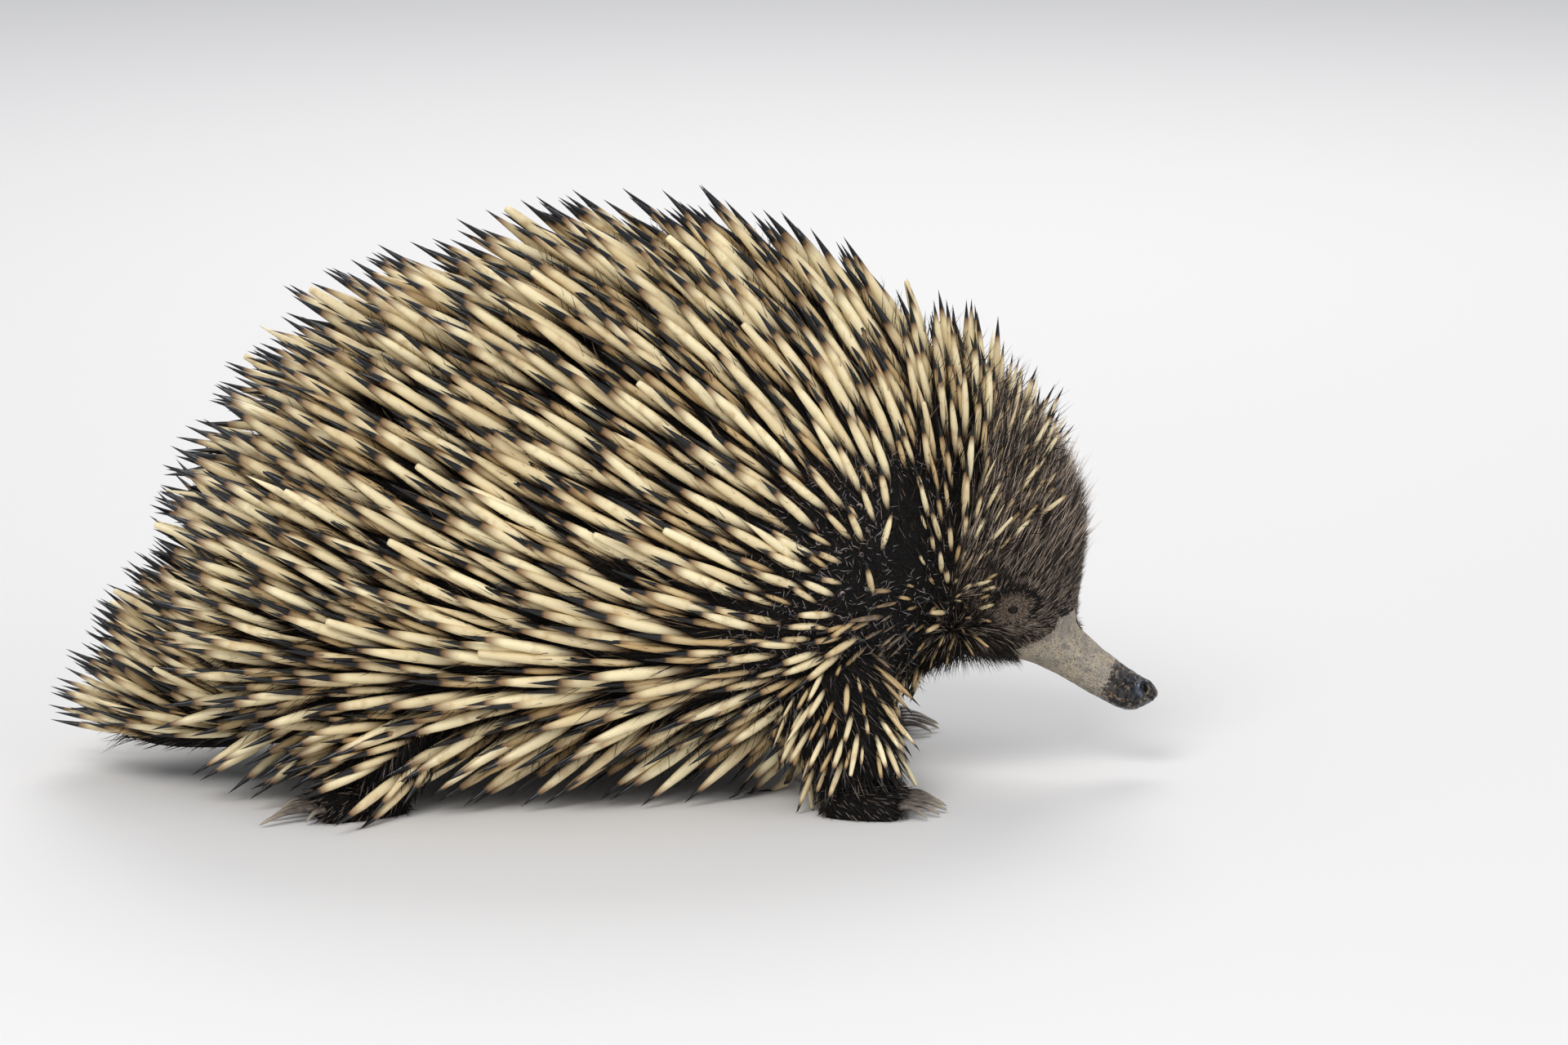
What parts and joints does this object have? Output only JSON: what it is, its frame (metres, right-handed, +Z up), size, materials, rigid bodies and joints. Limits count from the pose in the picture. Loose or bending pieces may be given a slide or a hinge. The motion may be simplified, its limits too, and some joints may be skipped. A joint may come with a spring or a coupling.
{
  "type": "short-beaked echidna",
  "caption": "Life-size still model of a short-beaked echidna standing with its beak bent down to feed, coated in stout spines.",
  "frame": {"origin": "on the floor under the middle of the animal", "axes": "+X towards the beak, +Y towards the animal's left side, +Z up"},
  "size_m": [0.4244, 0.203, 0.2294],
  "materials": {
    "spiny_skin": "cream spines with black tips over coarse black hair",
    "furred_skin": "short coarse black-brown fur",
    "bare_skin": "bare grey-tan skin, dry behind and damp at the tip",
    "eye": "wet gloss",
    "claw": "satin horn, worn at the tips"
  },
  "bodies": {
    "root": {"torso": "spiny_skin", "rump": "spiny_skin", "tail": "spiny_skin", "neck": "spiny_skin", "head": "furred_skin", "beak": "bare_skin", "eye_left": "eye", "eye_right": "eye", "ear_left": "furred_skin", "ear_right": "furred_skin", "foreleg_left": "furred_skin", "foreleg_right": "furred_skin", "hindleg_left": "furred_skin", "hindleg_right": "furred_skin", "claw_foreleg_left_1": "claw", "claw_foreleg_left_2": "claw", "claw_foreleg_left_3": "claw", "claw_foreleg_left_4": "claw", "claw_foreleg_left_5": "claw", "claw_foreleg_right_1": "claw", "claw_foreleg_right_2": "claw", "claw_foreleg_right_3": "claw", "claw_foreleg_right_4": "claw", "claw_foreleg_right_5": "claw", "claw_hindleg_left_1": "claw", "claw_hindleg_left_2": "claw", "claw_hindleg_left_3": "claw", "claw_hindleg_left_4": "claw", "claw_hindleg_left_5": "claw", "claw_hindleg_right_1": "claw", "claw_hindleg_right_2": "claw", "claw_hindleg_right_3": "claw", "claw_hindleg_right_4": "claw", "claw_hindleg_right_5": "claw"}
  },
  "joints": []
}
